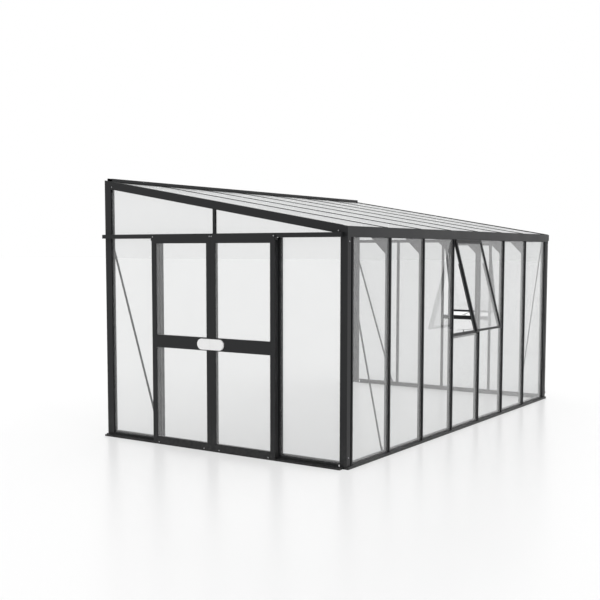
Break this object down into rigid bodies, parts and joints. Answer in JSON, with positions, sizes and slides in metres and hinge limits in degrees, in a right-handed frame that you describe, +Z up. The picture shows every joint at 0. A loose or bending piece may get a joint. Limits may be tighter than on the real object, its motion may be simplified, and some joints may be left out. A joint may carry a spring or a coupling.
{
  "type": "lean to greenhouse",
  "caption": "Lean to greenhouse with a dark metal frame, glazed front and ends, a milky sloping roof, sliding doors in one end and hinged vents; the back is open to a wall.",
  "frame": {"origin": "under the front sill at mid length, on the floor, in the plane of the front bars' noses", "axes": "+X along the wall away from the doors, +Y from the glazed front to the wall, +Z up"},
  "size_m": [5.6705, 3.3335, 2.792],
  "materials": {
    "frame_metal": "dark grey powder coat",
    "clear_glass": "clear",
    "roof_sheet": "milky twin wall sheet",
    "white_handle": "smooth white",
    "screw_steel": "dull plated",
    "seal_rubber": "matt black",
    "black_plastic": "matt black",
    "drain_plastic": "matt black"
  },
  "bodies": {
    "house": {"diagonal_braces": "frame_metal", "door_corner_post": "frame_metal", "door_end_panes": "clear_glass", "door_end_sills": "frame_metal", "door_jambs": "frame_metal", "door_threshold": "frame_metal", "door_top_track": "frame_metal", "door_wall_post": "frame_metal", "downpipe": "drain_plastic", "downpipe_clips": "drain_plastic", "downpipe_shoe": "drain_plastic", "eave_gutter": "frame_metal", "end_rafters": "frame_metal", "far_corner_post": "frame_metal", "far_end_bars": "frame_metal", "far_end_panes": "clear_glass", "far_sill": "frame_metal", "far_wall_post": "frame_metal", "frame_screws": "screw_steel", "front_bar_1": "frame_metal", "front_bar_2": "frame_metal", "front_bar_3": "frame_metal", "front_bar_4": "frame_metal", "front_bar_5": "frame_metal", "front_bar_6": "frame_metal", "front_panes": "clear_glass", "front_sill": "frame_metal", "gutter_end_caps": "frame_metal", "gutter_outlet": "drain_plastic", "head_mullions": "frame_metal", "knee_gussets": "frame_metal", "roof_bars": "frame_metal", "roof_panels": "roof_sheet", "tie_bars": "frame_metal", "vent_hinges": "frame_metal", "vent_transoms": "frame_metal", "wall_rail": "frame_metal"},
    "left_door": {"left_door_frame": "frame_metal", "left_door_panes": "clear_glass", "left_door_handle": "white_handle", "left_door_screws": "screw_steel", "left_door_runners": "black_plastic"},
    "left_door_wheels_1": {"left_door_roller_1": "black_plastic"},
    "left_door_wheels_2": {"left_door_roller_2": "black_plastic"},
    "right_door": {"right_door_frame": "frame_metal", "right_door_panes": "clear_glass", "right_door_handle": "white_handle", "right_door_screws": "screw_steel", "right_door_runners": "black_plastic"},
    "right_door_wheels_1": {"right_door_roller_1": "black_plastic"},
    "right_door_wheels_2": {"right_door_roller_2": "black_plastic"},
    "front_vent": {"front_vent_frame": "frame_metal", "front_vent_pane": "clear_glass", "front_vent_seals": "seal_rubber"},
    "front_vent_prop": {"front_vent_stay": "frame_metal"},
    "far_vent": {"far_vent_frame": "frame_metal", "far_vent_pane": "clear_glass", "far_vent_seals": "seal_rubber"},
    "far_vent_prop": {"far_vent_stay": "frame_metal"}
  },
  "joints": [
    {"name": "left_door_slide", "type": "slide", "parent": "house", "child": "left_door", "axis": [0, 1, 0], "range_m": [0, 0.69]},
    {"name": "right_door_slide", "type": "slide", "parent": "house", "child": "right_door", "axis": [0, -1, 0], "range_m": [0, 0.69]},
    {"name": "left_door_wheels_1_roll", "type": "hinge", "parent": "left_door", "child": "left_door_wheels_1", "pos_m": [-2.6815, 1.6575, 2.1643], "axis": [1, 0, 0], "range_deg": [-3300, 3300]},
    {"name": "left_door_wheels_2_roll", "type": "hinge", "parent": "left_door", "child": "left_door_wheels_2", "pos_m": [-2.6815, 2.2175, 2.1643], "axis": [1, 0, 0], "range_deg": [-3300, 3300]},
    {"name": "right_door_wheels_1_roll", "type": "hinge", "parent": "right_door", "child": "right_door_wheels_1", "pos_m": [-2.6815, 1.4365, 2.1643], "axis": [1, 0, 0], "range_deg": [-3300, 3300]},
    {"name": "right_door_wheels_2_roll", "type": "hinge", "parent": "right_door", "child": "right_door_wheels_2", "pos_m": [-2.6815, 0.8765, 2.1643], "axis": [1, 0, 0], "range_deg": [-3300, 3300]},
    {"name": "front_vent_hinge", "type": "hinge", "parent": "house", "child": "front_vent", "pos_m": [0, -0.01, 2.139], "axis": [-1, 0, 0], "range_deg": [-15, 4]},
    {"name": "front_vent_prop_pivot", "type": "hinge", "parent": "front_vent", "child": "front_vent_prop", "pos_m": [0, -0.24707, 1.15379], "axis": [-1, 0, 0], "range_deg": [-2.5, 8]},
    {"name": "far_vent_hinge", "type": "hinge", "parent": "house", "child": "far_vent", "pos_m": [2.663, 1.188, 2.139], "axis": [0, -1, 0], "range_deg": [-15, 4]},
    {"name": "far_vent_prop_pivot", "type": "hinge", "parent": "far_vent", "child": "far_vent_prop", "pos_m": [2.90007, 1.188, 1.15379], "axis": [0, -1, 0], "range_deg": [-2.5, 8]}
  ],
  "couplings": [
    {"joint": "left_door_wheels_1_roll", "follows": "left_door_slide", "rad_per_m": -83.333},
    {"joint": "left_door_wheels_2_roll", "follows": "left_door_slide", "rad_per_m": -83.333},
    {"joint": "right_door_wheels_1_roll", "follows": "right_door_slide", "rad_per_m": 83.333},
    {"joint": "right_door_wheels_2_roll", "follows": "right_door_slide", "rad_per_m": 83.333},
    {"joint": "front_vent_prop_pivot", "follows": "front_vent_hinge", "ratio": -0.5},
    {"joint": "far_vent_prop_pivot", "follows": "far_vent_hinge", "ratio": -0.5}
  ]
}
